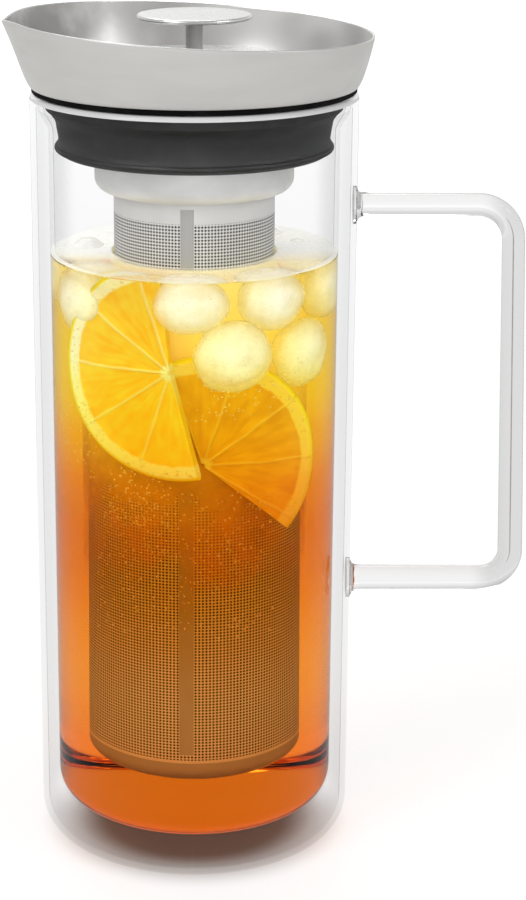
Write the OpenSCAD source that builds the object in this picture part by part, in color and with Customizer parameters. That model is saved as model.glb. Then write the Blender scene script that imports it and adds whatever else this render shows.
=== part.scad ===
// Double-walled glass pitcher for iced tea, with a pouring lid, a lift-out infuser and a knob plug.
// Millimetres, +Z up. The origin is the centre of the base on the jug's axis.
// The beak points along -X and the handle along +X.

/* [Glass jug] */
// Outer radius of the jug
jug_r = 50; // [44:0.5:56]
// Height of the glass rim above the base
jug_h = 242.3; // [220:0.1:260]
// Wall thickness of the outer glass
outer_wall = 2; // [1.6:0.1:2.4]
// Rounding of the outer base corner
base_round = 10.7; // [6:0.1:14]
// Outer radius of the inner vessel
vessel_r = 44.5; // [44:0.1:45]
// Wall thickness of the inner vessel
vessel_wall = 1.5; // [1.2:0.1:1.6]
// Height of the inner vessel's underside above the base
vessel_lift = 11.2; // [8:0.1:20]
// Rounding of the inner vessel's bottom corner
vessel_round = 8; // [5:0.5:12]

/* [Handle] */
// Height of the upper arm's centre line
arm_high = 207.2; // [180:0.1:215]
// Height of the lower arm's centre line
arm_low = 84.9; // [60:0.1:110]
// Distance of the grip's upper corner from the jug's axis
reach_high = 98.4; // [85:0.1:110]
// Distance of the grip's lower corner from the jug's axis
reach_low = 101.9; // [85:0.1:110]
// Radius of the rod in the upper arm
rod_high_r = 3.55; // [3:0.05:4.5]
// Radius of the rod at the lower bend
rod_low_r = 3.95; // [3:0.05:4.5]
// Radius of the rod where the lower arm meets the wall
rod_foot_r = 4.2; // [3:0.05:5]
// Centre line radius of the upper bend
bend_high = 11.4; // [8:0.1:16]
// Centre line radius of the lower bend
bend_low = 9.4; // [8:0.1:16]
// Flare of the fused feet
foot_flare = 2.2; // [1:0.1:4]

/* [Pouring collar] */
// Radius of the collar where it meets the seal
collar_foot_r = 49.5; // [48:0.1:50]
// Mean radius of the collar's rim
collar_rim_r = 55.2; // [53:0.1:58]
// Mean height of the rim above the collar's foot
collar_h = 17.7; // [15:0.1:24]
// Rise of the rim at the beak, and its fall at the handle
rim_slant = 2.9; // [0:0.1:4]
// Gain of the rim's radius towards the beak
rim_lean = 0.8; // [0:0.1:2]
// Reach of the beak beyond the round rim
beak_out = 2; // [0:0.1:4]
// Droop of the beak's tip
beak_droop = 1.7; // [0:0.1:3]
// Half angle of the beak, in degrees
beak_half = 24; // [15:1:40]
// Thickness of the collar's sheet
collar_sheet = 0.8; // [0.6:0.1:1]

/* [Lid inside] */
// Thickness of the bowl's floor plate
floor_t = 1.2; // [0.8:0.1:2]
// Inner radius of the pour slots
slot_in = 33.2; // [33:0.1:34]
// Radial width of the pour slots
slot_w = 4.8; // [4:0.1:5]
// Angle that each pour slot spans, in degrees
slot_span = 26; // [15:1:28]
// Inner radius of the skirt that carries the seal
carrier_in = 38.2; // [38:0.1:38.6]
// Wall thickness of the seal's skirt
carrier_wall = 1.2; // [0.8:0.1:1.4]
// Clearance between the seal's lip and the vessel
seal_gap = 0.3; // [0.2:0.05:0.5]

/* [Infuser] */
// Radius of the perforated tube
tube_r = 24.8; // [20:0.1:25]
// Thickness of the infuser's sheet
tube_sheet = 0.5; // [0.4:0.05:0.8]
// Height of the infuser's underside above the base
infuser_low = 26.5; // [20:0.5:60]
// Height of the base cap's plain band
cap_h = 6.7; // [6:0.1:10]
// Rounding of the base cap's corner
cap_round = 5; // [3:0.5:5.5]
// Width of the plain seam strip
seam_w = 4; // [2:0.5:6]
// Direction of the seam strip, in degrees from +X
seam_turn = 265; // [0:1:359]
// Outer radius of the holder cup
cup_r = 30.6; // [30:0.1:30.7]
// Height of the holder cup's underside above the base
cup_low = 212.3; // [205:0.1:216]
// Rounding of the holder cup's lower corner
cup_round = 4; // [3:0.5:5]
// Sheet thickness of the holder cup
cup_sheet = 0.8; // [0.6:0.1:1]

/* [Knob plug] */
// Height of the knob's top above the base
knob_top = 265.3; // [262:0.1:270]
// Radius of the disc knob
knob_r = 17.4; // [12:0.1:22]
// Thickness of the disc knob
knob_t = 1.4; // [1:0.1:3]
// Radius of the knob's stem
stem_r = 2.6; // [2.3:0.1:4]
// Radius of the plug's cover
cover_r = 30.9; // [30.8:0.1:32]
// Thickness of the plug's cover
cover_t = 2; // [1:0.1:2.4]

/* [Hidden] */
$fn = 96;
eps = 0.01;

// Glass jug
rim_bead = 1.95;
rim_seat = jug_h - 4.4;
flare_low = jug_h - 11.5;
vessel_in = vessel_r - vessel_wall;
dish_top = vessel_lift + vessel_round + 2;
flare_out = 2.9;
vent_r = 3;
vent_head_r = 4.2;
vent_head_h = 1.6;

// Handle
grip_slant = atan((reach_low - reach_high) / (arm_high - arm_low));
tangent_high = bend_high * tan((90 - grip_slant) / 2);
tangent_low = bend_low * tan((90 + grip_slant) / 2);
grip_top = [reach_high + tangent_high * sin(grip_slant), arm_high - tangent_high * cos(grip_slant)];
grip_foot = [reach_low - tangent_low * sin(grip_slant), arm_low + tangent_low * cos(grip_slant)];
foot_sunk = 2;

// Lid: the stack from the glass rim upwards
rim_gap = 0.25;
band_t = 1.55;
collar_z = jug_h + rim_gap + band_t;
floor_z = collar_z + collar_sheet;
floor_top = floor_z + floor_t;
floor_r = 48.6;
ledge_r = 48.9;
ledge_in = 46;
slot_turns = [148, 180, 212, 0];
carrier_out = carrier_in + carrier_wall;
carrier_low = 223.8;
carrier_lip = [40.6, 0.8];
seal_low = carrier_low + carrier_lip[1];
lip_bead = 0.95;
lip_r = vessel_in - seal_gap - lip_bead;
lip_z = seal_low + lip_bead;
band_r = collar_foot_r - 0.1;
shoulder_r = vessel_in + 2.3;
shoulder_z = jug_h - 5;
neck_r = vessel_in - 0.5;
neck_z = jug_h - 7.6;
waist_r = vessel_in - 1.6;
waist_z = jug_h - 14.2;

// Collar: radius grows evenly along the wall while the height follows this power
wall_power = 1.5;
collar_steps = 6;
collar_turns = 96;
lip_rise = 0.25;

// Holder cup and infuser
cup_flange = [32.6, 0.8];
throat_h = 3.7;
throat_z = floor_top + throat_h;
cup_in = cup_r - cup_sheet;
tube_play = 0.8;
cup_hole = tube_r + tube_play;
slide_gap = 0.35;
head_low = cup_low + cup_sheet + slide_gap;
head_r = cup_in - slide_gap;
head_h = 7.5;
seam_t = 0.25;
seam_ends = 3;

// Knob plug
cover_gap = 0.25;
cover_z = throat_z + cover_gap;
cover_top = cover_z + cover_t;
knob_z = knob_top - knob_t;
sleeve_r = 28;
sleeve_wall = 1.5;
sleeve_h = 11;
gasket_r = 1;
gasket_gap = 0.45;
gasket_drop = 7;
gasket_ring = cup_in - gasket_gap - gasket_r;
gasket_z = cover_z - gasket_drop;
groove_play = 0.1;
screw_r = 2;
washer = [5.5, 0.8];
nut = [4.04, 3.2];
screw_play = 0.05;
screw_end = 1;
screw_low = cover_z - sleeve_wall - washer[1] - nut[1] - screw_end;

steel = [0.78, 0.775, 0.76];
bright_steel = [0.88, 0.88, 0.87];
mesh_steel = [0.6, 0.6, 0.59];
silicone = [0.2, 0.2, 0.21];
clear_glass = [0.9, 0.94, 0.95, 0.35];
clear_silicone = [0.85, 0.85, 0.85, 0.7];

// Half outline of a round vessel with a rounded lower corner, from the axis to radius r
module vessel_outline(r, low, high, round) {
    translate([0, low]) square([r - round, high - low]);
    translate([0, low + round]) square([r, high - low - round]);
    intersection() {
        translate([r - round, low + round]) circle(round);
        translate([r - round, low]) square([round, round]);
    }
}

// Ring with a rectangular section
module ring(r_in, r_out, low, high) {
    rotate_extrude() translate([r_in, low]) square([r_out - r_in, high - low]);
}

// Pressed cup: a sheet shell with a rounded corner and a round hole in its floor
module cup_outline(r, low, high, round, sheet, hole) {
    difference() {
        vessel_outline(r, low, high, round);
        vessel_outline(r - sheet, low + sheet, high + 1, round - sheet);
        if (hole > 0) translate([0, low - 1]) square([hole, high - low + 2]);
    }
}

module outer_glass() {
    color(clear_glass) rotate_extrude() difference() {
        union() {
            vessel_outline(jug_r, 0, jug_h - rim_bead, base_round);
            translate([jug_r - rim_bead, jug_h - rim_bead]) circle(rim_bead);
        }
        vessel_outline(jug_r - outer_wall, outer_wall, rim_seat, base_round - outer_wall);
        polygon([
            [0, rim_seat - eps], [vessel_in + flare_out, rim_seat - eps],
            [jug_r - 2 * rim_bead, jug_h - rim_bead], [0, jug_h - rim_bead + eps],
        ]);
        translate([0, -1]) square([vent_r, outer_wall + 2]);
    }
}

module inner_glass() {
    color(clear_glass) rotate_extrude() polygon([
        [vessel_in, dish_top], [vessel_r, dish_top], [vessel_r, flare_low],
        [vessel_r + flare_out, rim_seat], [vessel_in + flare_out, rim_seat], [vessel_in, flare_low],
    ]);
}

module inner_floor() {
    floor_round = vessel_round - vessel_wall;
    color(clear_glass) rotate_extrude() difference() {
        vessel_outline(vessel_r, vessel_lift, dish_top, vessel_round);
        vessel_outline(vessel_in, vessel_lift + vessel_wall, dish_top + 1, floor_round);
    }
}

// Straight stretch of rod between two points of the handle's plane
module rod(from, to, r_from, r_to) {
    run = to - from;
    translate([from[0], 0, from[1]]) rotate([0, atan2(run[0], run[1]), 0])
        cylinder(h = norm(run), r1 = r_from, r2 = r_to);
}

// Bend of the rod about a centre in the handle's plane
module bend(centre, bend_r, r, first, last) {
    translate([centre[0], 0, centre[1]]) rotate([90, 0, 0]) rotate([0, 0, first])
        rotate_extrude(angle = last - first) translate([bend_r, 0]) circle(r);
}

// Foot of an arm, hollowed towards the rod like glass drawn out of the wall
module foot(height, r) {
    length = foot_sunk + foot_flare;
    translate([jug_r - foot_sunk, 0, height]) rotate([0, 90, 0]) rotate_extrude() difference() {
        square([r + foot_flare, length]);
        translate([r + foot_flare, length]) circle(foot_flare);
    }
}

module glass_handle() {
    foot_end = jug_r + foot_flare;
    color(clear_glass) difference() {
        union() {
            foot(arm_high, rod_high_r);
            rod([foot_end, arm_high], [reach_high - tangent_high, arm_high], rod_high_r, rod_high_r);
            bend([reach_high - tangent_high, arm_high - bend_high], bend_high, rod_high_r, grip_slant, 90);
            rod(grip_top, grip_foot, rod_high_r, rod_low_r);
            bend([reach_low - tangent_low, arm_low + bend_low], bend_low, rod_low_r, -90, grip_slant);
            rod([reach_low - tangent_low, arm_low], [foot_end, arm_low], rod_low_r, rod_foot_r);
            foot(arm_low, rod_foot_r);
        }
        cylinder(h = jug_h, r = jug_r);
    }
}

module vent_plug() {
    color(clear_silicone) union() {
        cylinder(h = outer_wall, r = vent_r);
        translate([0, 0, outer_wall]) cylinder(h = vent_head_h, r = vent_head_r);
    }
}

// Rim of the collar at an angle from the beak
function beak(turn) = abs(turn) < beak_half ? pow(1 - abs(turn) / beak_half, 2) : 0;
function rim_radius(turn) = collar_rim_r + rim_lean * cos(turn);
function rim_height(turn) = collar_h + rim_slant * cos(turn) - beak_droop * beak(turn);

// Point of the collar's wall: way runs from 0 at the foot to 1 at the rim
function wall_point(turn, way, inset) = [
    collar_foot_r + (rim_radius(turn) - collar_foot_r) * way + beak_out * beak(turn) * pow(way, 3) - inset,
    collar_z + rim_height(turn) * pow(way, wall_power),
];

// Section of the collar at an angle: up the outside, over the lip, down the inside, along the ledge
function collar_section(turn) = concat(
    [for (i = [0 : collar_steps]) wall_point(turn, i / collar_steps, 0)],
    [wall_point(turn, 1, collar_sheet / 2) + [0, lip_rise]],
    [for (i = [collar_steps : -1 : 1]) wall_point(turn, i / collar_steps, collar_sheet)],
    [[ledge_r, floor_z], [ledge_in, floor_z], [ledge_in, collar_z]]
);

module pouring_collar() {
    turns = [for (i = [0 : collar_turns - 1]) i * 360 / collar_turns];
    sections = [for (t = turns) collar_section(t > 180 ? t - 360 : t)];
    count = len(sections[0]);
    points = [
        for (i = [0 : collar_turns - 1], p = sections[i])
            [-p[0] * cos(turns[i]), -p[0] * sin(turns[i]), p[1]],
    ];
    function at(i, j) = (i % collar_turns) * count + j % count;
    faces = [
        for (i = [0 : collar_turns - 1], j = [0 : count - 1])
            each [
                [at(i, j), at(i, j + 1), at(i + 1, j + 1)],
                [at(i, j), at(i + 1, j + 1), at(i + 1, j)],
            ],
    ];
    color(steel) polyhedron(points, faces);
}

module bowl_floor() {
    color(steel) difference() {
        ring(cup_r + slide_gap, floor_r, floor_z, floor_top);
        for (turn = slot_turns) rotate([0, 0, turn - slot_span / 2])
            rotate_extrude(angle = slot_span)
                translate([slot_in, floor_z - 1]) square([slot_w, floor_t + 2]);
    }
}

module seal_carrier() {
    color(silicone) union() {
        ring(carrier_in, carrier_out, carrier_low, floor_z);
        ring(carrier_in, carrier_lip[0], carrier_low, seal_low);
    }
}

module stopper_seal() {
    inside = lip_r + lip_bead / 3;
    color(silicone) union() {
        rotate_extrude() polygon([
            [carrier_out, collar_z], [band_r, collar_z], [band_r, collar_z - band_t],
            [shoulder_r, collar_z - band_t], [shoulder_r, shoulder_z], [neck_r, neck_z], [waist_r, waist_z],
            [inside, lip_z + lip_bead / 2], [inside, lip_z - lip_bead / 2], [lip_r - lip_bead, seal_low],
            [carrier_out, seal_low],
        ]);
        rotate_extrude() translate([lip_r, lip_z]) circle(lip_bead);
    }
}

module holder_cup() {
    color(bright_steel) union() {
        rotate_extrude() cup_outline(cup_r, cup_low, throat_z, cup_round, cup_sheet, cup_hole);
        ring(cup_r - cup_sheet / 2, cup_flange[0], floor_top, floor_top + cup_flange[1]);
    }
}

module infuser_flange() {
    color(bright_steel) rotate_extrude()
        cup_outline(head_r, head_low, head_low + head_h, cup_round - cup_sheet - slide_gap, cup_sheet,
            tube_r - tube_sheet);
}

module infuser_tube() {
    color(mesh_steel) ring(tube_r - tube_sheet, tube_r, infuser_low + cap_h, head_low);
}

module infuser_seam() {
    span = seam_w / tube_r * 180 / PI;
    low = infuser_low + cap_h + seam_ends;
    color(bright_steel) rotate([0, 0, seam_turn - span / 2]) rotate_extrude(angle = span)
        translate([tube_r, low]) square([seam_t, head_low - seam_ends - low]);
}

module infuser_base() {
    color(bright_steel) rotate_extrude()
        cup_outline(tube_r, infuser_low, infuser_low + cap_h, cap_round, tube_sheet, 0);
}

module plug_cover() {
    edge = cover_t / 2;
    color(bright_steel) rotate_extrude() difference() {
        union() {
            translate([0, cover_z]) square([cover_r - edge, cover_t]);
            translate([cover_r - edge, cover_z + edge]) circle(edge);
        }
        translate([0, cover_z - 1]) square([screw_r, cover_t + 2]);
    }
}

module plug_sleeve() {
    groove = gasket_r + groove_play;
    color(silicone) difference() {
        union() {
            ring(sleeve_r - sleeve_wall, sleeve_r, cover_z - sleeve_h, cover_z);
            ring(screw_r, sleeve_r - sleeve_wall / 2, cover_z - sleeve_wall, cover_z);
        }
        ring(gasket_ring - gasket_r, sleeve_r + 1, gasket_z - groove, gasket_z + groove);
    }
}

module plug_gasket() {
    color(silicone) rotate_extrude() translate([gasket_ring, gasket_z]) circle(gasket_r);
}

module knob_stem() {
    color(steel) union() {
        translate([0, 0, cover_top]) cylinder(h = knob_z - cover_top, r = stem_r);
        translate([0, 0, screw_low]) cylinder(h = cover_top - screw_low, r = screw_r);
    }
}

module knob_disc() {
    edge = knob_t / 2;
    color(bright_steel) rotate_extrude() union() {
        translate([0, knob_z]) square([knob_r - edge, knob_t]);
        translate([knob_r - edge, knob_z + edge]) circle(edge);
    }
}

module stem_washer() {
    top = cover_z - sleeve_wall;
    color(steel) ring(screw_r + screw_play, washer[0], top - washer[1], top);
}

module stem_nut() {
    top = cover_z - sleeve_wall - washer[1];
    color(steel) translate([0, 0, top - nut[1]]) difference() {
        cylinder(h = nut[1], r = nut[0], $fn = 6);
        translate([0, 0, -1]) cylinder(h = nut[1] + 2, r = screw_r + screw_play);
    }
}

outer_glass();
inner_glass();
inner_floor();
glass_handle();
vent_plug();
pouring_collar();
bowl_floor();
seal_carrier();
stopper_seal();
holder_cup();
infuser_flange();
infuser_tube();
infuser_seam();
infuser_base();
plug_cover();
plug_sleeve();
plug_gasket();
knob_stem();
knob_disc();
stem_washer();
stem_nut();
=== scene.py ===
# %% [markdown]
# # A double-walled pitcher for iced tea
# The frame brings the pitcher's solids at their real size: a glass jug with a rod handle, a steel pouring
# lid with its seal, an infuser that hangs in the tea, and a knob plug. This lesson gives them their looks.
# Round pieces are turned again with finer outlines, and the drink with its ice and lemon is made here alone.

# %% Load the frame
import math
import random

import bmesh
import bpy
from mathutils import Matrix, Vector, noise


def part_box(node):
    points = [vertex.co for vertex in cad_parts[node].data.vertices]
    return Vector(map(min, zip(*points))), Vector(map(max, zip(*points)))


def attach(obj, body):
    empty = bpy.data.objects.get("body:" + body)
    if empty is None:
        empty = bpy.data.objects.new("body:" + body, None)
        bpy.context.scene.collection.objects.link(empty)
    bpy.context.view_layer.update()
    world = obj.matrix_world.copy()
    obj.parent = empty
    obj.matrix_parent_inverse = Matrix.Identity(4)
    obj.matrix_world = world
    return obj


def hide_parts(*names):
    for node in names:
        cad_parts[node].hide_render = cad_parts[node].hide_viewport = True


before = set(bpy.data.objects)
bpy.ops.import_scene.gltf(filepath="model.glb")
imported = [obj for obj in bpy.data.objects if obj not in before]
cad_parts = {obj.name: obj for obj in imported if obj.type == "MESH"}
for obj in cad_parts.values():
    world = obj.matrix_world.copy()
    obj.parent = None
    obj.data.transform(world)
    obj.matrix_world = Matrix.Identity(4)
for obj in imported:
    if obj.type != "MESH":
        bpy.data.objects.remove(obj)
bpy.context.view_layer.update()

mm = 0.001
scene = bpy.context.scene
scene.view_settings.view_transform = "Standard"

# %% [markdown]
# ## The camera
# The picture looks down on the lid with a long lens from three quarters of a metre. The lens is worked out
# from the picture's own height in pixels, and the jug's axis stands left of the middle, so that the handle
# fits in the frame. A sideways shift of the lens does that without tilting the upright walls.

# %% Camera
photo_width, photo_height = 526, 900
focal_px = 2357
jug_axis_px = 194.3
camera_back, camera_up = 715 * mm, 352 * mm
camera_dip = math.radians(17.4)
sensor_mm = 36.0

camera_data = bpy.data.cameras.new("picture_camera")
camera_data.sensor_width = sensor_mm
camera_data.lens = focal_px / photo_height * sensor_mm
camera_data.shift_x = (photo_width / 2 - jug_axis_px) / photo_height
camera = bpy.data.objects.new("picture_camera", camera_data)
camera.location = (0, -camera_back, camera_up)
camera.rotation_euler = (math.pi / 2 - camera_dip, 0, 0)
scene.collection.objects.link(camera)
scene.camera = camera
print("lens", round(camera_data.lens, 1), "mm, shift", round(camera_data.shift_x, 4))

# %% [markdown]
# ## Helpers for shader nodes
# Every finish below is a small network of nodes. Writing each link by hand makes long scripts, so these
# helpers add a node, set its choices, and set or link its inputs in one call. Numbers in a network are added
# and multiplied as usual, and each such step lays one Math node.

# %% Node helpers
def plug_in(tree, value, socket):
    """Links a socket or a number of the network, or sets a plain value."""
    value = getattr(value, "socket", value)
    if isinstance(value, bpy.types.NodeSocket):
        tree.links.new(value, socket)
    else:
        socket.default_value = value


def put(tree, kind, inputs=None, **choices):
    """Adds a node, with its choices and its inputs by name or number, and gives its outputs."""
    node = tree.nodes.new("ShaderNode" + kind)
    for name, value in choices.items():
        setattr(node, name, value)
    for key, value in (inputs or {}).items():
        plug_in(tree, value, node.inputs[key])
    return node.outputs


class Number:
    """A number in a network of nodes, which can be used in sums."""

    def __init__(self, tree, socket):
        self.tree, self.socket = tree, socket

    def __add__(self, other):
        return calc(self.tree, "ADD", self, other)

    def __sub__(self, other):
        return calc(self.tree, "SUBTRACT", self, other)

    def __rsub__(self, other):
        return calc(self.tree, "SUBTRACT", other, self)

    def __mul__(self, other):
        return calc(self.tree, "MULTIPLY", self, other)

    def __truediv__(self, other):
        return calc(self.tree, "DIVIDE", self, other)


def calc(tree, operation, *values):
    """Number from a Math node."""
    return Number(tree, put(tree, "Math", dict(enumerate(values)), operation=operation)[0])


def ease(tree, value, low, high, start=0.0, end=1.0):
    """Soft change from start to end while the value goes from low to high."""
    reach = {"Value": value, "From Min": low, "From Max": high, "To Min": start, "To Max": end}
    return Number(tree, put(tree, "MapRange", reach, interpolation_type="SMOOTHSTEP")["Result"])


def blend(tree, share, first, second):
    """Mix of two colours by a share from 0 to 1."""
    return put(tree, "Mix", {0: share, 6: first, 7: second}, data_type="RGBA")[2]


def mottle(tree, place, scale, detail=2.0, rough=0.5):
    """Noise between 0 and 1 at a place."""
    inputs = {"Vector": place, "Scale": scale, "Detail": detail, "Roughness": rough}
    return Number(tree, put(tree, "TexNoise", inputs)["Fac"])


def bump(tree, height, distance, strength=1.0):
    """Normal of a surface with this relief, its distance in metres."""
    inputs = {"Height": height, "Distance": distance, "Strength": strength}
    return put(tree, "Bump", inputs)["Normal"]


def own_place(tree):
    """Place on the piece in its own frame, in metres."""
    return put(tree, "TexCoord")["Object"]


def grey(level):
    return (level, level, level, 1.0)


# %% [markdown]
# ## Floor and light
# The floor is a plain white sheet without an edge in view. What is seen of it, straight, through glass or in
# steel, is lifted to white by a little light of its own, while it still takes the pitcher's soft shadow. Near
# the foot that light fades, a painted contact shadow. Glass mirrors it over and over between its walls, which
# would lay a veil over the drink, so that light which was both mirrored and let through finds the floor
# darker, as it does in a studio with dark screens. Under the jug it is painted the brown of the light that
# came through the tea, a painted shadow, with a painted pool of red light just behind the axis.
# The sky is a dome that is bright near the floor and grey overhead, so that steel shows both, from every
# side alike. Through glass it stays pale, because the tea's bottom mirrors it. Large soft lamps do the
# lighting.

# %% Floor
floor_size = 16.0
floor_albedo, floor_grain = 0.80, 0.02
floor_seen, floor_mirrored, floor_in_glass = 0.40, 0.66, 0.47
glow_under, glow_near, glow_far = 0.04, 0.62, 0.30
glow_mirrored, glow_in_glass = 0.25, 0.2
# Painted shadow under the jug, brown, and a painted pool of red light just behind the axis.
painted_tea_shadow, painted_tea_light_pool = (0.17, 0.10, 0.055, 1), (0.34, 0.09, 0.05, 1)
glow_behind, glow_reach = 0.018, (0.020, 0.034)
# Near the foot the floor's own light fades: a painted contact shadow.
foot_shadow_reach, far_reach = (0.028, 0.053), (0.3, 2.6)


def axes(tree):
    """X, Y and Z of the place on the piece."""
    return [Number(tree, part) for part in put(tree, "SeparateXYZ", {"Vector": own_place(tree)})]


def hypot(tree, x, y):
    """Distance that x and y make, as math.hypot gives it for plain numbers."""
    return calc(tree, "SQRT", x * x + y * y)


def finish(lay_nodes):
    """Turns a function that lays nodes into one that makes a material.

    The first gives back the shader of the surface and, where there is one, that of the inside.
    """
    def make(name, *values):
        material = bpy.data.materials.new(name)
        material.use_nodes = True
        tree = material.node_tree
        tree.nodes.clear()
        output = tree.nodes.new("ShaderNodeOutputMaterial")
        for side, shader in zip(("Surface", "Volume"), lay_nodes(tree, *values)):
            tree.links.new(shader, output.inputs[side])
        return material

    return make


@finish
def floor_paint(tree):
    path = put(tree, "LightPath")
    mirrored = calc(tree, "GREATER_THAN", path["Glossy Depth"], 0.5)
    in_glass = mirrored * calc(tree, "GREATER_THAN", path["Transmission Depth"], 0.5)
    seen = calc(tree, "MAXIMUM", path["Is Camera Ray"], path["Is Transmission Ray"])
    straight = seen * (1.0 - mirrored)
    x, y, _ = axes(tree)
    from_foot, from_glow = hypot(tree, x, y), hypot(tree, x, y - glow_behind)
    # Painted shadow and painted pool of tea-coloured light under the jug.
    painted_under_jug = blend(tree, ease(tree, from_glow, *glow_reach), painted_tea_light_pool, painted_tea_shadow)
    seen_paint = blend(tree, ease(tree, from_foot, *foot_shadow_reach), painted_under_jug, grey(floor_seen))
    grain = mottle(tree, own_place(tree), 9.0)
    paint = blend(tree, grain, grey(floor_albedo), grey(floor_albedo + floor_grain))
    paint = blend(tree, straight, paint, seen_paint)
    paint = blend(tree, mirrored, paint, grey(floor_mirrored))
    paint = blend(tree, in_glass, paint, grey(floor_in_glass))
    # Less glow near the foot: painted contact shadow.
    level = ease(tree, from_foot, *foot_shadow_reach, glow_under, glow_near)
    level = level + ease(tree, from_foot, *far_reach, 0.0, glow_far)
    shown = straight + (mirrored - in_glass) * glow_mirrored + in_glass * glow_in_glass
    matt = put(tree, "BsdfDiffuse", {"Color": paint})[0]
    glow = put(tree, "Emission", {"Color": grey(1), "Strength": shown * level})[0]
    return put(tree, "AddShader", {0: matt, 1: glow})


half = floor_size / 2
floor_corners = [(-half, -half, 0), (half, -half, 0), (half, half, 0), (-half, half, 0)]
floor_mesh = bpy.data.meshes.new("floor")
floor_mesh.from_pydata(floor_corners, [], [(0, 1, 2, 3)])
floor_mesh.materials.append(floor_paint("floor_paint"))
floor_mesh.materials[0].cycles.emission_sampling = "NONE"
floor = bpy.data.objects.new("floor", floor_mesh)
scene.collection.objects.link(floor)
print("floor", floor_size, "m wide")

# %% Sky and lamps
sky_fill = 0.55
sky_low, sky_high, sky_through_glass = 1.0, 0.30, 0.8
sky_change = (0.05, 0.75)
lamps = {
    "left_softbox": {"place": (-1.1, -0.9, 1.5), "size": 0.9, "watts": 14},
    "right_softbox": {"place": (1.3, -0.6, 1.1), "size": 0.7, "watts": 6},
    "back_softbox": {"place": (-0.2, 1.2, 1.5), "size": 1.0, "watts": 9},
    "front_fill": {"place": (0.0, -1.5, 0.55), "size": 1.2, "watts": 6},
}
lamp_aim = Vector((0, 0, 130 * mm))


def mix(tree, share, first, second):
    """Mix of two shaders by a share from 0 to 1."""
    return put(tree, "MixShader", {0: share, 1: first, 2: second})[0]


def make_sky():
    world = bpy.data.worlds.new("studio_sky")
    world.use_nodes = True
    tree = world.node_tree
    tree.nodes.clear()
    rise = put(tree, "SeparateXYZ", {"Vector": put(tree, "TexCoord")["Generated"]})["Z"]
    path = put(tree, "LightPath")
    through_glass = calc(tree, "MULTIPLY", path["Is Transmission Ray"], sky_through_glass)
    level = calc(tree, "MAXIMUM", ease(tree, rise, *sky_change, sky_low, sky_high), through_glass)
    dome = put(tree, "Background", {"Color": grey(1), "Strength": level})[0]
    fill = put(tree, "Background", {"Color": grey(1), "Strength": sky_fill})[0]
    both = mix(tree, path["Is Diffuse Ray"], dome, fill)
    tree.links.new(both, tree.nodes.new("ShaderNodeOutputWorld").inputs["Surface"])
    world.cycles.sampling_method = "NONE"
    return world


scene.world = make_sky()
for name, facts in lamps.items():
    lamp_data = bpy.data.lights.new(name, "AREA")
    lamp_data.shape = "DISK"
    lamp_data.size = facts["size"]
    lamp_data.energy = facts["watts"]
    lamp = bpy.data.objects.new(name, lamp_data)
    lamp.location = facts["place"]
    lamp.rotation_euler = (lamp_aim - lamp.location).to_track_quat("-Z", "Y").to_euler()
    lamp.visible_glossy = name != "front_fill"
    scene.collection.objects.link(lamp)

scene.cycles.max_bounces = 24
scene.cycles.glossy_bounces = 24
scene.cycles.transmission_bounces = 24
scene.cycles.transparent_max_bounces = 48
scene.cycles.caustics_reflective = False
scene.cycles.caustics_refractive = False
print("lamps:", ", ".join(lamps))

# %% [markdown]
# ## Marks that several finishes share
# Steel that was turned or polished on a lathe carries fine rings, and everything that is handled has faint
# smudges. Both are node groups, so that each finish can take them with its own values. The rings are noise
# that runs slowly around the axis and fast along the wall, and it has no seam, because it is read at the
# direction from the axis and not at an angle.

# %% Shared groups
streak_stretch = (0.6, 0.6, 0.06)


def start_group(name, inputs, outputs):
    """Empty node group of number sockets, with its entry and its exit."""
    group = bpy.data.node_groups.new(name, "ShaderNodeTree")
    for label, value in inputs.items():
        group.interface.new_socket(label, in_out="INPUT", socket_type="NodeSocketFloat").default_value = value
    for label in outputs:
        group.interface.new_socket(label, in_out="OUTPUT", socket_type="NodeSocketFloat")
    return group, group.nodes.new("NodeGroupInput"), group.nodes.new("NodeGroupOutput")


def make_turned_marks():
    values = {"Length": 5.0, "Fineness": 2500.0}
    group, entry, leave = start_group("turned_marks", values, ["Rings", "Streaks"])
    x, y, z = axes(group)
    radius = hypot(group, x, y)
    spread = calc(group, "DIVIDE", entry.outputs["Length"], calc(group, "MAXIMUM", radius, 1 * mm))
    along = (z + radius) * entry.outputs["Fineness"]
    rings = put(group, "CombineXYZ", {"X": x * spread, "Y": y * spread, "Z": along})[0]
    streaks = put(group, "VectorMath", {0: rings, 1: streak_stretch}, operation="MULTIPLY")[0]
    plug_in(group, mottle(group, rings, 1.0, 3.0, 0.65), leave.inputs["Rings"])
    plug_in(group, mottle(group, streaks, 1.0, 2.0), leave.inputs["Streaks"])
    return group


def make_smudges():
    group, entry, leave = start_group("smudges", {"Size": 60.0}, ["Mask"])
    cloud = put(group, "TexNoise", {
        "Vector": own_place(group), "Scale": entry.outputs["Size"], "Detail": 4.0, "Distortion": 0.8,
    })["Fac"]
    plug_in(group, ease(group, cloud, 0.48, 0.72), leave.inputs["Mask"])
    return group


turned_marks = make_turned_marks()
smudges = make_smudges()


def use_group(tree, group, **values):
    """Numbers that a shared group gives, placed with its own values."""
    node = tree.nodes.new("ShaderNodeGroup")
    node.node_tree = group
    for label, value in values.items():
        plug_in(tree, value, node.inputs[label])
    return {socket.name: Number(tree, socket) for socket in node.outputs}


print("groups:", turned_marks.name, smudges.name)

# %% [markdown]
# ## Steel
# The collar, cup, infuser and plug are stainless steel. The collar is satin outside, and its bowl has painted
# shade towards the beak, where the steep walls mirror dark surroundings. The cup and the knob are brushed
# finer and brighter, and the bright steel also makes a painted highlight along the collar's lip. One function
# makes them all, because they differ only in tone, in how strongly the brush marks show and in how much
# painted shade they have towards the beak.

# %% Steel finishes
streak_reach = (0.3, 0.7)
# Painted shade towards the beak, where the bowl's steep walls mirror dark surroundings.
beak_shade_reach, beak_shade_tone = (-52 * mm, 12 * mm), (0.16, 0.15, 0.14, 1)


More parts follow.
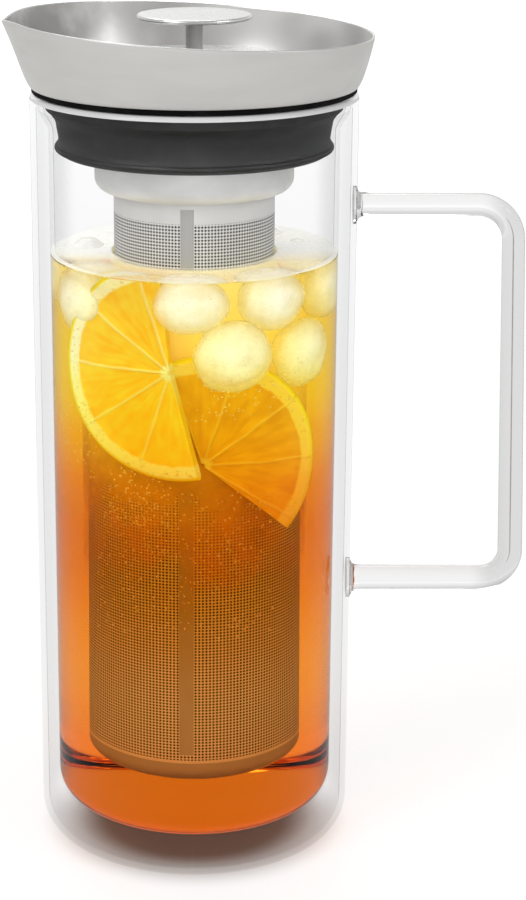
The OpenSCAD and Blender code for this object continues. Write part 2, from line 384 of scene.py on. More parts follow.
@finish
def steel(tree, tone, roughness, metal, relief, length, fineness, dullest=0.90, beak_shade_share=0.0):
    marks = use_group(tree, turned_marks, Length=length, Fineness=fineness)
    touched = use_group(tree, smudges, Size=45.0)["Mask"]
    dull = tuple(v * dullest for v in tone[:3]) + (1.0,)
    colour = blend(tree, ease(tree, marks["Streaks"], *streak_reach), tone, dull)
    # Patchy painted shade, darker towards the beak.
    painted_beak_shade = ease(tree, axes(tree)[0], *beak_shade_reach, beak_shade_share, 0.0)
    patchy = painted_beak_shade * ease(tree, mottle(tree, own_place(tree), 60.0, 3.0), 0.3, 0.6, 0.4, 1.0)
    spread = ease(tree, marks["Streaks"], *streak_reach, roughness - 0.03, roughness + 0.04)
    return put(tree, "BsdfPrincipled", {
        "Base Color": blend(tree, patchy, colour, beak_shade_tone),
        "Metallic": metal, "Roughness": spread + touched * 0.03,
        "Normal": bump(tree, marks["Rings"], relief),
    })


satin_steel = steel("satin_steel", (0.555, 0.55, 0.53, 1), 0.40, 0.55, 0.0015 * mm, 4.0, 2600.0, 0.96)
# Bright steel of the knob and cover, also used on the collar's lip as a painted highlight.
bright_steel = steel("bright_steel", (0.74, 0.74, 0.73, 1), 0.28, 0.9, 0.001 * mm, 5.0, 3200.0)
cup_steel = steel("cup_steel", (0.82, 0.82, 0.81, 1), 0.42, 0.30, 0.001 * mm, 5.0, 3200.0)
bowl_steel = steel("bowl_steel", (0.80, 0.79, 0.775, 1), 0.34, 0.6, 0.002 * mm, 2.0, 420.0, 0.55, 0.75)
print("steel finishes:", satin_steel.name, bright_steel.name, cup_steel.name, bowl_steel.name)

# %% [markdown]
# ## Perforated sheet
# The infuser is a sheet with many thousand holes of half a millimetre in a square grid. As real cuts they
# would make millions of faces, so they are drawn: the sheet is unrolled in the shader into a length around
# and a height, both are cut into cells of one pitch, and a dot in each cell is dark and sunk. The dark of the
# dots is painted shade of the tube's inside, seen through the holes.

# %% Perforated steel
tube_low, tube_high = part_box("infuser_tube")
tube_r = tube_high.x
holes_round = 156
hole_pitch = 2 * math.pi * tube_r / holes_round
hole_r = 0.33 * mm
hole_edge = 0.05 * mm
plain_top, plain_foot = 7.5 * mm, 1.0 * mm


def hole_mask(tree):
    """1 in the holes of the sheet and 0 between them, unrolled to a length around and a height."""
    x, y, z = axes(tree)

    def off_centre(length):
        return (calc(tree, "FRACT", (length + 1.0) / hole_pitch) - 0.5) * hole_pitch

    around = calc(tree, "ARCTAN2", y, x) * tube_r
    distance = hypot(tree, off_centre(around), off_centre(z))
    dot = ease(tree, distance, hole_r - hole_edge, hole_r + hole_edge, 1.0, 0.0)
    below_top = calc(tree, "LESS_THAN", z, tube_high.z - plain_top)
    above_foot = calc(tree, "GREATER_THAN", z, tube_low.z + plain_foot)
    return dot * (below_top * above_foot)


@finish
def sheet_steel(tree, tone, with_holes):
    hole = hole_mask(tree) if with_holes else 0.0
    marks = use_group(tree, turned_marks, Length=9.0, Fineness=1500.0)
    sheet = blend(tree, marks["Streaks"], grey(tone), grey(tone * 0.88))
    return put(tree, "BsdfPrincipled", {
        # Near-black holes: painted shade of the tube's inside.
        "Base Color": blend(tree, hole, sheet, grey(0.01)),
        "Metallic": ease(tree, hole, 0.0, 1.0, 0.3, 0.0),
        "Roughness": ease(tree, hole, 0.0, 1.0, 0.42, 0.8),
        "Normal": bump(tree, hole, -0.1 * mm, 0.5),
    })


perforated_steel = sheet_steel("perforated_steel", 0.76, True)
plain_sheet = sheet_steel("plain_sheet", 0.44, False)
print("hole pitch", round(hole_pitch / mm, 3), "mm")

# %% [markdown]
# ## Silicone and plastic
# The stopper is matt silicone, charcoal to black. The vent plug is milky silicone, and the hidden carrier
# and sleeve are moulded plastic. All are plain mouldings, so one function makes them, with a fine grain and
# the shared smudges. It also makes a near-black silicone for the band above the seal's shoulder, painted
# shade of the gap between collar and glass, and the grey of the line in the handle's grip, a painted
# refraction of the tea.

# %% Moulded finishes
@finish
def moulding(tree, tone, roughness, grain_size, shine=0.5):
    touched = use_group(tree, smudges, Size=80.0)["Mask"]
    grain = mottle(tree, own_place(tree), grain_size, 3.0)
    paler = tuple(min(1.0, v * 1.35 + 0.01) for v in tone[:3]) + (1.0,)
    return put(tree, "BsdfPrincipled", {
        "Base Color": blend(tree, touched * 0.5, tone, paler),
        "Roughness": ease(tree, grain, 0.3, 0.7, roughness - 0.05, roughness + 0.05),
        "Normal": bump(tree, grain, 0.002 * mm),
        "Specular IOR Level": shine,
    })


black_silicone = moulding("black_silicone", grey(0.012), 0.55, 2500.0)
# Near-black copy of the silicone for the band in the gap: painted shade.
gap_silicone = moulding("gap_silicone", grey(0.003), 0.8, 2500.0, 0.05)
clear_silicone = moulding("clear_silicone", (0.80, 0.81, 0.81, 1), 0.45, 1800.0)
grey_plastic = moulding("grey_plastic", (0.045, 0.045, 0.05, 1), 0.42, 1500.0)
# Grey for the line in the handle's grip: a painted refraction of the tea.
air_grey = moulding("air_grey", (0.42, 0.38, 0.36, 1), 0.42, 1500.0)
print("moulded finishes:", black_silicone.name, clear_silicone.name, grey_plastic.name)

# %% [markdown]
# ## Glass and tea
# Both are Principled shaders with full transmission. Real glass lets lamplight through to what is behind it,
# which path tracing finds only by chance. Shadow rays and diffuse rays therefore go straight through. The
# jug's thin walls hardly bend light, so a grey tint where the eye looks along them, painted shade, draws
# their edges, and the handle's grip has a deeper painted shade on its outer side. The rim's round edge is
# painted near white, a painted highlight. The solid rod of the handle bends light as glass does. The tea
# absorbs blue most and red least, and its skin has painted light and shade by height: pale near the top and
# deeper towards the bottom.

# %% Glass finish
glass_light = grey(0.985)
glass_shine = grey(0.15)
glass_haze, haze_density = (0.80, 0.82, 0.82, 1), 10.0
thin_ior, thin_reach = 1.002, (0.45, 0.65)
# Painted shade on the handle's grip, deeper towards its outer side.
painted_grip_shade = (88 * mm, 97 * mm, grey(0.69))


def clear_for_light(tree, shader, colour):
    """The shader for what is seen, and plain tinted see-through for shadow and diffuse rays."""
    path = put(tree, "LightPath")
    light = calc(tree, "MAXIMUM", path["Is Shadow Ray"], path["Is Diffuse Ray"])
    return mix(tree, light, shader, put(tree, "BsdfTransparent", {"Color": colour})[0])


@finish
def clear_glass(tree, ior, front, side, reach, grip_shade=None):
    """Clear glass: its tint where it faces the eye, its tint at its sides, a painted shade that draws its
    edges, and the reach of facing between them.

    A grip shade is a deeper tint towards the handle's side, painted shade: where it starts, where it is full,
    and the tint.
    """
    waves = mottle(tree, own_place(tree), 22.0, 1.0)
    facing = put(tree, "LayerWeight", {"Blend": 0.5})["Facing"]
    if grip_shade:
        front = blend(tree, ease(tree, axes(tree)[0], grip_shade[0], grip_shade[1]), front, grip_shade[2])
    # Base colour greyer where the eye looks along the glass: painted edge shade.
    body = put(tree, "BsdfPrincipled", {
        "Base Color": blend(tree, ease(tree, facing, *reach), front, side),
        "Roughness": 0.0, "IOR": ior, "Transmission Weight": 1.0, "Specular Tint": glass_shine,
        "Normal": bump(tree, waves, 0.12 * mm),
    })[0]
    haze = put(tree, "VolumeAbsorption", {"Color": glass_haze, "Density": haze_density})[0]
    return clear_for_light(tree, body, glass_light), haze


@finish
def rim_highlight_paint(tree):
    """The fire-polished rim, painted near white along its round edge: a painted highlight."""
    waves = mottle(tree, own_place(tree), 90.0, 1.0)
    body = put(tree, "BsdfPrincipled", {
        "Base Color": blend(tree, waves, grey(0.95), grey(0.85)), "Roughness": 0.1, "IOR": 1.25,
        "Transmission Weight": 0.35,
    })[0]
    return [clear_for_light(tree, body, glass_light)]


wet_glass = clear_glass("wet_glass", thin_ior, grey(0.99), grey(0.985), thin_reach)
thin_glass = clear_glass("thin_glass", thin_ior, grey(0.97), grey(0.885), thin_reach)
rod_glass = clear_glass("rod_glass", 1.45, grey(0.86), grey(0.30), (0.50, 0.95), painted_grip_shade)
rim_glass = rim_highlight_paint("rim_glass")

# %% Tea finish
tea_bottom, tea_level = 9 * mm, 192.5 * mm
tea_depth = tea_level - tea_bottom
# Painted light and shade by height: pale near the top, deeper towards the bottom.
painted_tea_tones = [
    (9, (1.0, 0.24, 0.20)), (24, (1.0, 0.33, 0.42)), (45, (1.0, 0.50, 0.55)), (58, (1.0, 0.51, 0.54)),
    (67, (1.0, 0.45, 0.38)), (77, (0.94, 0.36, 0.14)), (88, (0.85, 0.29, 0.03)), (98, (0.80, 0.26, 0.012)),
    (112, (0.84, 0.30, 0.015)), (128, (0.96, 0.52, 0.03)), (138, (1.0, 0.82, 0.09)), (148, (1.0, 0.95, 0.18)),
    (158, (1.0, 1.0, 0.32)), (168, (1.0, 1.0, 0.62)), (192, (1.0, 1.0, 0.95)),
]
light_through = 0.5
floor_shade, shade_rise = 0.30, 6 * mm
tea_takes, tea_density = (0.975, 0.833, 0.0, 1), 45.0


def height_tones(tree, share, stops):
    """Colour at a share of the tea's depth, from stops that give heights in millimetres."""
    tone = put(tree, "ValToRGB", {"Fac": share})["Color"]
    marks = tone.node.color_ramp.elements
    for i, (height, colour) in enumerate(stops):
        mark = marks[i] if i < 2 else marks.new(1.0)
        mark.position = (height * mm - tea_bottom) / tea_depth
        mark.color = (*colour, 1.0)
    return tone


@finish
def tea_paint(tree):
    z = axes(tree)[2]
    level = (z - tea_bottom) / tea_depth
    drift = (mottle(tree, own_place(tree), 18.0, 2.0) - 0.5) * 0.12
    painted_tone = height_tones(tree, level + drift * level, painted_tea_tones)
    body = put(tree, "BsdfPrincipled", {
        "Base Color": painted_tone, "Roughness": 0.0, "IOR": 1.33, "Transmission Weight": 1.0,
        "Specular Tint": glass_shine,
    })[0]
    shade = ease(tree, z, tea_bottom, tea_bottom + shade_rise, floor_shade, 1.0)
    light_tint = blend(tree, shade, grey(0), blend(tree, light_through, grey(1), painted_tone))
    absorb = put(tree, "VolumeAbsorption", {"Color": tea_takes, "Density": tea_density})[0]
    return clear_for_light(tree, body, light_tint), absorb


tea_finish = tea_paint("tea")
print("glass and tea ready, tea level", round(tea_level / mm, 1), "mm")

# %% [markdown]
# ## Turning round pieces
# Most pieces are bodies of revolution. They are drawn as half an outline, a list of radius and height, and
# turned about the jug's axis. Round corners are short arcs. Edges sharper than a limit stay crisp, and the
# rest is shaded smoothly.

# %% Lathe helpers
crisp_edge = math.radians(35)


def arc(centre, radius, first, last, steps=10):
    """Points on a round corner between two angles in degrees."""
    turns = [math.radians(first + (last - first) * i / steps) for i in range(steps + 1)]
    return [(centre[0] + radius * math.cos(t), centre[1] + radius * math.sin(t)) for t in turns]


def make_piece(name, bm, material):
    """Object from a bmesh, smooth but for its crisp edges."""
    bmesh.ops.recalc_face_normals(bm, faces=bm.faces[:])
    for face in bm.faces:
        face.smooth = True
    for edge in bm.edges:
        edge.smooth = not (edge.is_manifold and edge.calc_face_angle() > crisp_edge)
    mesh = bpy.data.meshes.new(name)
    bm.to_mesh(mesh)
    bm.free()
    mesh.materials.append(material)
    piece = bpy.data.objects.new(name, mesh)
    scene.collection.objects.link(piece)
    return piece


def polar(radius, turn, height):
    """Place at a distance from the axis, an angle around it and a height."""
    return Vector((radius * math.cos(turn), radius * math.sin(turn), height))


def bridge(bm, one, two):
    """Faces between two closed rings of points, of which one may be a single point."""
    count = max(len(one), len(two))
    faces = []
    for i in range(count):
        j = (i + 1) % count
        corners = [one[i % len(one)], one[j % len(one)], two[j % len(two)], two[i % len(two)]]
        faces.append(bm.faces.new(list(dict.fromkeys(corners))))
    return faces


def lathe(name, outline, material, turns=192):
    """Turns a half outline. It closes on the axis where it ends there, and otherwise back to its start."""
    bm = bmesh.new()
    angles = [2 * math.pi * i / turns for i in range(turns)]
    rings = []
    for radius, height in outline:
        ring = [polar(radius, a, height) for a in (angles if radius > 0 else angles[:1])]
        rings.append([bm.verts.new(p) for p in ring])
    pairs = list(zip(rings, rings[1:]))
    if outline[0][0] > 0:
        pairs.append((rings[-1], rings[0]))
    for one, two in pairs:
        bridge(bm, one, two)
    return make_piece(name, bm, material)


def touch_up(piece, material, where):
    """Gives a second finish to the faces whose middle lies where the test of radius and height says."""
    piece.data.materials.append(material)
    for face in piece.data.polygons:
        if where(face.center.xy.length, face.center.z):
            face.material_index = len(piece.data.materials) - 1


def fit(piece, body, slot, *nodes):
    """Seats a piece: what it moves with, whose finish it takes (not used) and which solids it stands for."""
    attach(piece, body)
    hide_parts(*nodes)
    print(piece.name, "rides on", body, "with", len(piece.data.polygons), "faces")
    return piece


# %% [markdown]
# ## The glass jug
# The real jug is blown from two tubes that are fused at the rim, with air between them. It is turned from one
# outline that runs up the inside, over the rim bead, down the outside, in through the vent hole and around
# the air gap, so that glass and air lie on the right sides of one closed surface. The vessel's wall is as
# good as clear where the tea stands in it, and tinted above.

# %% Glass jug
outer_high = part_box("outer_glass")[1]
inner_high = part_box("inner_glass")[1]
jug_r, jug_h = outer_high.x, outer_high.z
outer_wall, vessel_wall = 2 * mm, 1.5 * mm
base_round, vessel_round = 10.7 * mm, 8 * mm
rim_bead = 1.95 * mm
rim_highlight_reach = 0.9 * rim_bead
flare_out = 2.9 * mm
flare_low, rim_seat = jug_h - 11.5 * mm, inner_high.z
vessel_r = inner_high.x - flare_out
vessel_in = vessel_r - vessel_wall
vessel_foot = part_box("inner_floor")[0].z
vent_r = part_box("vent_plug")[1].x - 1.25 * mm
gap_middle = (vessel_r + jug_r - outer_wall) / 2
thin_from = tea_level - 0.5 * mm


def flare(radius, upward, steps=10):
    """The vessel's wall where it opens smoothly towards the rim."""
    shares = [i / steps for i in range(steps + 1)]
    rise = rim_seat - flare_low
    points = [(radius + flare_out * s * s * (3 - 2 * s), flare_low + rise * s) for s in shares]
    return points if upward else points[::-1]


def jug_outline():
    floor_in = vessel_foot + vessel_wall
    round_in = vessel_round - vessel_wall
    corner = jug_r - base_round
    return [
        (0, floor_in),
        *arc((vessel_in - round_in, floor_in + round_in), round_in, -90, 0),
        (vessel_in, thin_from),
        *flare(vessel_in, True),
        *arc((jug_r - rim_bead, jug_h - rim_bead), rim_bead, 180, 0, 16),
        *arc((corner, base_round), base_round, 0, -90, 16),
        (vent_r, 0),
        (vent_r, outer_wall),
        *arc((corner, base_round), base_round - outer_wall, -90, 0, 16),
        (jug_r - outer_wall, rim_seat),
        *flare(vessel_r, False),
        (vessel_r, thin_from),
        *arc((vessel_r - vessel_round, vessel_foot + vessel_round), vessel_round, 0, -90),
        (0, vessel_foot),
    ]


glass_jug = lathe("glass_jug", jug_outline(), thin_glass, 256)
touch_up(glass_jug, wet_glass, lambda r, z: r < gap_middle and vessel_foot - outer_wall < z < thin_from)
# The rim's round edge takes the painted highlight.
touch_up(glass_jug, rim_glass, lambda r, z: z > jug_h - rim_highlight_reach and r > jug_r - rim_highlight_reach)
fit(glass_jug, "jug", "glass", "outer_glass", "inner_glass", "inner_floor")

# %% [markdown]
# ## The handle
# A solid glass rod is bent twice and its ends are melted onto the wall. It is a tube swept along arms, bends
# and grip in the plane of the beak, thicker towards its lower foot. At each foot it flares, and a few
# folds are pressed into it, as soft glass gathers when it is pushed against the wall.

# %% Handle
arm_high, arm_low = 207.2 * mm, 84.9 * mm
reach_high, reach_low = 98.4 * mm, 101.9 * mm
bend_high, bend_low = 11.4 * mm, 9.4 * mm
rod_high, rod_low, rod_foot = 3.55 * mm, 3.95 * mm, 4.2 * mm
foot_flare = 2.2 * mm
foot_end = jug_r - 1.2 * mm
rod_sides = 48
fold_depth, fold_pitch, fold_reach, fold_round = 0.6 * mm, 1.0 * mm, 2.2, 1.7
thicker_from, thicker_over = 0.25, 0.5
swollen_from, swollen_over = 0.8, 0.2
# Size of the grey line in the grip, a painted refraction of the tea.
refraction_line_r, refraction_line_tip, refraction_line_sides = 0.13 * mm, 0.3, 8


def corner_bend(before, corner, after, radius, steps=14):
    """Round bend of a path at a corner, tangent to both of its sides."""
    back, ahead = (before - corner).normalized(), (after - corner).normalized()
    half_angle = back.angle(ahead) / 2
    reach = radius / math.tan(half_angle)
    centre = corner + (back + ahead).normalized() * radius / math.sin(half_angle)
    first, last = ((corner + way * reach - centre).normalized() for way in (back, ahead))
    return [centre + first.slerp(last, i / steps) * radius for i in range(steps + 1)]


def stretch(first, last, steps):
    """Points between two places, without its ends."""
    return [first.lerp(last, i / steps) for i in range(1, steps)]


def handle_path():
    top_foot, top_corner = Vector((foot_end, 0, arm_high)), Vector((reach_high, 0, arm_high))
    low_corner, low_foot = Vector((reach_low, 0, arm_low)), Vector((foot_end, 0, arm_low))
    upper = corner_bend(top_foot, top_corner, low_corner, bend_high)
    lower = corner_bend(top_corner, low_corner, low_foot, bend_low)
    arm_in, arm_out = stretch(top_foot, upper[0], 40), stretch(lower[-1], low_foot, 40)
    return [top_foot, *arm_in, *upper, *stretch(upper[-1], lower[0], 16), *lower, *arm_out, low_foot]


def sweep(name, path, reach, sides, material):
    """Tube along a path in the handle's plane; reach gives its radius at a step and an angle."""
    bm = bmesh.new()
    side = Vector((0, 1, 0))
    turns = [2 * math.pi * k / sides for k in range(sides)]
    rings = []
    for i, point in enumerate(path):
        ahead = (path[min(i + 1, len(path) - 1)] - path[max(i - 1, 0)]).normalized()
        up = side.cross(ahead)
        ring = [point + (side * math.cos(t) + up * math.sin(t)) * reach(i, t) for t in turns]
        rings.append([bm.verts.new(p) for p in ring])
    for one, two in zip(rings, rings[1:]):
        bridge(bm, one, two)
    bm.faces.new(rings[0])
    bm.faces.new(rings[-1][::-1])
    return make_piece(name, bm, material)


def make_handle():
    path = handle_path()
    lengths = [0.0]
    for one, two in zip(path, path[1:]):
        lengths.append(lengths[-1] + (two - one).length)

    def reach(i, turn):
        share = lengths[i] / lengths[-1]
        thicker = min(1.0, max(0.0, (share - thicker_from) / thicker_over))
        radius = rod_high + (rod_low - rod_high) * thicker
        radius += (rod_foot - rod_low) * max(0.0, (share - swollen_from) / swollen_over)
        to_wall = max(0.0, min(lengths[i], lengths[-1] - lengths[i]) - (jug_r - foot_end))
        near = max(0.0, 1 - to_wall / foot_flare)
        folds = max(0.0, 1 - to_wall / (fold_reach * foot_flare))
        place = polar(fold_round, turn, to_wall / fold_pitch)
        radius += foot_flare * (1 - math.sqrt(max(0.0, 1 - near * near)))
        return radius + fold_depth * folds * noise.noise(place)

    return sweep("handle_rod", path, reach, rod_sides, rod_glass)


def make_refraction_line():
    """A fine grey line in the grip, a painted refraction of the tea seen through the rod."""
    low, high = arm_low + bend_low / 2, arm_high - bend_high / 3
    path = [p for p in handle_path() if low < p.z < high and p.x > reach_high / 1.1]
    last = len(path) - 1

    def reach(i, turn):
        taper = min(1.0, 4 * i / last, 4 * (1 - i / last))
        return refraction_line_r * (refraction_line_tip + (1 - refraction_line_tip) * taper)

    return sweep("refraction_line", path, reach, refraction_line_sides, air_grey)


handle_rod = make_handle()
fit(handle_rod, "jug", "glass", "glass_handle")
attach(make_refraction_line(), "jug")

# %% [markdown]
# ## The pouring collar
# The collar is drawn from one sheet. Its rim rises towards the beak, and there the sheet is pinched to a
# point. It is a loft: at each angle from the beak, a section runs up the outside, over a rolled lip, down
# the inside and along the ledge that carries the bowl's floor.

# %% Collar
collar_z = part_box("pouring_collar")[0].z
collar_foot_r, collar_rim_r = 49.5 * mm, 55.2 * mm
collar_rise, rim_slant, rim_lean = 17.7 * mm, 2.9 * mm, 0.8 * mm
beak_out, beak_droop, beak_half = 2.0 * mm, 1.7 * mm, math.radians(24)
collar_sheet = 0.8 * mm
ledge_r, ledge_in = 48.9 * mm, 46 * mm
wall_power = 1.5
collar_turns, collar_steps, lip_steps = 288, 28, 6


def collar_wall(turn, way, inset):
    """Radius and height on the collar's wall; way is 0 at its foot and 1 at its rim."""
    beak = max(0.0, 1 - abs(turn) / beak_half) ** 2
    rim_r = collar_rim_r + rim_lean * math.cos(turn)
    rise = collar_rise + rim_slant * math.cos(turn) - beak_droop * beak
    radius = collar_foot_r + (rim_r - collar_foot_r) * way + beak_out * beak * way ** 3
    return radius - inset, collar_z + rise * way ** wall_power


def collar_section(turn):
    ways = [i / collar_steps for i in range(collar_steps + 1)]
    lip_r, lip_z = collar_wall(turn, 1.0, collar_sheet / 2)
    floor_z = collar_z + collar_sheet
    return [
        *(collar_wall(turn, w, 0) for w in ways),
        *arc((lip_r, lip_z), collar_sheet / 2, 20, 160, lip_steps),
        *(collar_wall(turn, w, collar_sheet) for w in reversed(ways[6:])),
        (ledge_r, floor_z), (ledge_in, floor_z), (ledge_in, collar_z),
    ]


def make_collar():
    bm = bmesh.new()
    rings = []
    for i in range(collar_turns):
        turn = math.pi * (2 * i / collar_turns - 1)
        rings.append([bm.verts.new(polar(-r, turn, z)) for r, z in collar_section(turn)])
    for one, two in zip(rings, rings[1:] + rings[:1]):
        for j, face in enumerate(bridge(bm, one, two)):
            # Index 2, the rolled lip, takes the bright steel as a painted highlight.
            face.material_index = 1 if j > collar_steps + lip_steps else 2 if j > collar_steps + 1 else 0
    return make_piece("collar", bm, satin_steel)


collar = make_collar()
collar.data.materials.append(bowl_steel)
collar.data.materials.append(bright_steel)
fit(collar, "lid", "steel_satin", "pouring_collar")

# %% [markdown]
# ## Seal, cup, infuser and plug
# The rest of the lid and the plug are turned pieces too. Their outlines follow the frame's solids, with the
# small roundings that pressed sheet and moulded silicone have and that catch the light along each edge.

# %% Seal and holder cup
seal_low, seal_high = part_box("stopper_seal")
carrier_out = 39.4 * mm
band_t = 1.55 * mm
shoulder_r, shoulder_z = vessel_in + 2.3 * mm, jug_h - 5 * mm
neck_r, neck_z = vessel_in - 0.5 * mm, jug_h - 7.6 * mm
waist_r, waist_z = vessel_in - 1.6 * mm, jug_h - 14.2 * mm
lip_bead = 0.95 * mm
lip_r = vessel_in - 0.3 * mm - lip_bead
neck_round = 6 * mm
edge = 0.3 * mm


def seal_outline():
    band_low = seal_high.z - band_t
    shoulder, neck, waist = (Vector((r, 0, z)) for r, z in (
        (shoulder_r - edge, shoulder_z), (neck_r, neck_z), (waist_r, waist_z)))
    return [
        (carrier_out, seal_high.z),
        *arc((seal_high.x - edge, seal_high.z - edge), edge, 90, 0, 4),
        *arc((seal_high.x - edge, band_low + edge), edge, 0, -90, 4),
        (shoulder_r, band_low),
        *arc((shoulder_r - edge, shoulder_z + edge), edge, 0, -45, 4),
        *((p.x, p.z) for p in corner_bend(shoulder, neck, waist, neck_round)),
        (waist_r, waist_z),
        *arc((lip_r, seal_low.z + lip_bead), lip_bead, 75, -90, 10),
        (carrier_out, seal_low.z),
    ]


seal = lathe("seal", seal_outline(), black_silicone)
# The band above the shoulder takes the painted shade of the gap.
touch_up(seal, gap_silicone, lambda r, z: z > seal_high.z - 1.05 * band_t and r > shoulder_r)
fit(seal, "lid", "silicone_black", "stopper_seal")

cup_low, cup_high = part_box("holder_cup")
cup_r, cup_round, cup_sheet, cup_hole = 30.6 * mm, 4 * mm, 0.8 * mm, 25.6 * mm
cup_flange_z = cup_high.z - 3.7 * mm


def cup_outline():
    corner = (cup_r - cup_round, cup_low.z + cup_round)
    flange = cup_high.x
    return [
        (cup_hole, cup_low.z),
        *arc(corner, cup_round, -90, 0, 12),
        (cup_r, cup_flange_z),
        *arc((flange - edge, cup_flange_z + edge), edge, -90, 0, 4),
        *arc((flange - edge, cup_flange_z + cup_sheet - edge), edge, 0, 90, 4),
        (cup_r, cup_flange_z + cup_sheet),
        *arc((cup_r - cup_sheet / 2, cup_high.z - cup_sheet / 2), cup_sheet / 2, 0, 180, 8),
        *arc(corner, cup_round - cup_sheet, 0, -90, 12),
        (cup_hole, cup_low.z + cup_sheet),
    ]


cup = lathe("cup", cup_outline(), cup_steel)
fit(cup, "lid", "steel_bright", "holder_cup")

# %% Infuser
tube_sheet = 0.5 * mm
base_low, base_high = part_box("infuser_base")
cap_round = 5 * mm
seam_low, seam_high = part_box("infuser_seam")
seam_turn, seam_width, seam_t = math.radians(265), 4 * mm, 0.25 * mm


def tube_outline():
    inner = tube_r - tube_sheet
    return [(tube_r, tube_low.z), (tube_r, tube_high.z), (inner, tube_high.z), (inner, tube_low.z)]


def cap_outline():
    corner = (tube_r - cap_round, base_low.z + cap_round)
    return [
        (0, base_low.z),
        *arc(corner, cap_round, -90, 0, 12),
        (tube_r, base_high.z), (tube_r - tube_sheet, base_high.z),
        *arc(corner, cap_round - tube_sheet, 0, -90, 12),
        (0, base_low.z + tube_sheet),
    ]


def make_seam():
    """The plain overlap of the rolled sheet: a thin strip with its long edges laid down."""
    left = [(-0.5, 0.0), (-0.47, 0.9), (-0.4, 1.0), (-0.2, 1.0), (0.0, 1.0)]
    profile = left + [(-share, lift) for share, lift in left[-2::-1]]
    around = seam_width / tube_r
    bm = bmesh.new()
    rows = []
    for height in (seam_low.z, seam_high.z):
        strip = [polar(tube_r + seam_t * lift, seam_turn + share * around, height) for share, lift in profile]
        rows.append([bm.verts.new(p) for p in strip])
    bridge(bm, *rows)
    bm.faces.new(rows[0][::-1])
    bm.faces.new(rows[1])
    return make_piece("seam", bm, plain_sheet)


fit(lathe("tube", tube_outline(), perforated_steel), "infuser", "steel_mesh", "infuser_tube")
fit(lathe("tube_cap", cap_outline(), plain_sheet), "infuser", "steel_bright", "infuser_base")
fit(make_seam(), "infuser", "steel_bright", "infuser_seam")

# %% Knob plug
cover_low, cover_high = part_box("plug_cover")
disc_low, disc_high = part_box("knob_disc")
stem_low, stem_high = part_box("knob_stem")
stem_foot = 0.5 * mm
screw_r = 2 * mm


def rim_disc(low, high, radius, hole=0.0):
    """Flat disc with a rounded rim."""
    half_t = (high - low) / 2
    middle = (radius - half_t, low + half_t)
    return [(hole, low), *arc(middle, half_t, -90, 90, 12), (hole, high)]


def stem_outline():
    top = cover_high.z
    return [
        (0, stem_low.z), (screw_r, stem_low.z), (screw_r, top),
        *arc((stem_high.x + stem_foot, top + stem_foot), stem_foot, 270, 180, 4),
        (stem_high.x, stem_high.z - stem_foot),
        *arc((stem_high.x + stem_foot, stem_high.z - stem_foot), stem_foot, 180, 90, 4),
        (0, stem_high.z),
    ]


cover = lathe("cover", rim_disc(cover_low.z, cover_high.z, cover_high.x, screw_r), bright_steel)
knob = lathe("knob", rim_disc(disc_low.z, disc_high.z, disc_high.x), bright_steel)
fit(cover, "plug", "steel_bright", "plug_cover")
fit(knob, "plug", "steel_bright", "knob_disc")
fit(lathe("stem", stem_outline(), satin_steel, 96), "plug", "steel_satin", "knob_stem")

# %% [markdown]
# ## Pieces that keep their solids
# The pieces inside the lid and the plug, and the plug in the base, show little until they are taken apart.
# Their solids are right as they are, so they just get their finish.

# %% Finish of the kept solids
kept = {
    "vent_plug": clear_silicone, "bowl_floor": satin_steel, "seal_carrier": grey_plastic,
    "infuser_flange": bright_steel, "plug_sleeve": grey_plastic, "plug_gasket": black_silicone,
    "stem_washer": satin_steel, "stem_nut": satin_steel,
}
for node, material in kept.items():
    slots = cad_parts[node].data.materials
    slots.clear()
    slots.append(material)
print("kept solids:", ", ".join(kept))

# %% [markdown]
# ## The tea
# The tea fills the inner vessel, and the tops of the ice stand a little out of it. Seen through a real glass
# wall, tea looks as wide as the vessel. The jug's glass hardly bends light, so the tea's mesh reaches nearly
# through the wall instead. At the wall its surface climbs in a small meniscus.

# %% Tea
wall_overlap, floor_overlap = 1.3 * mm, 0.4 * mm
tea_r = vessel_in + wall_overlap
tea_floor = vessel_foot + vessel_wall - floor_overlap
meniscus, meniscus_reach = 0.25 * mm, 0.8 * mm


def tea_outline():
    corner = vessel_round - vessel_wall + wall_overlap
    steps = [0.02, 0.4, 0.8, 1.3, 2.0, 3.0, 4.5, 7.0]
    skin = [(vessel_in - s * mm, tea_level + meniscus * math.exp(-s * mm / meniscus_reach)) for s in steps]
    return [
        (0, tea_floor),
        *arc((tea_r - corner, tea_floor + corner), corner, -90, 0),
        (tea_r, tea_level),
        *skin,
        (0, tea_level),
    ]


tea = lathe("tea", tea_outline(), tea_finish, 256)
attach(tea, "jug")
print("tea", round(math.pi * tea_r ** 2 * (tea_level - tea_floor) * 1e6), "ml with what stands in it")

# %% [markdown]
# ## Ice
# The ice is in cloudy balls, a little flattened where they press between the infuser and the wall. Each is
# an icosphere, stretched and dented by smooth noise. Its finish is clear at the rim and milky in the middle,
# where the air was trapped last.

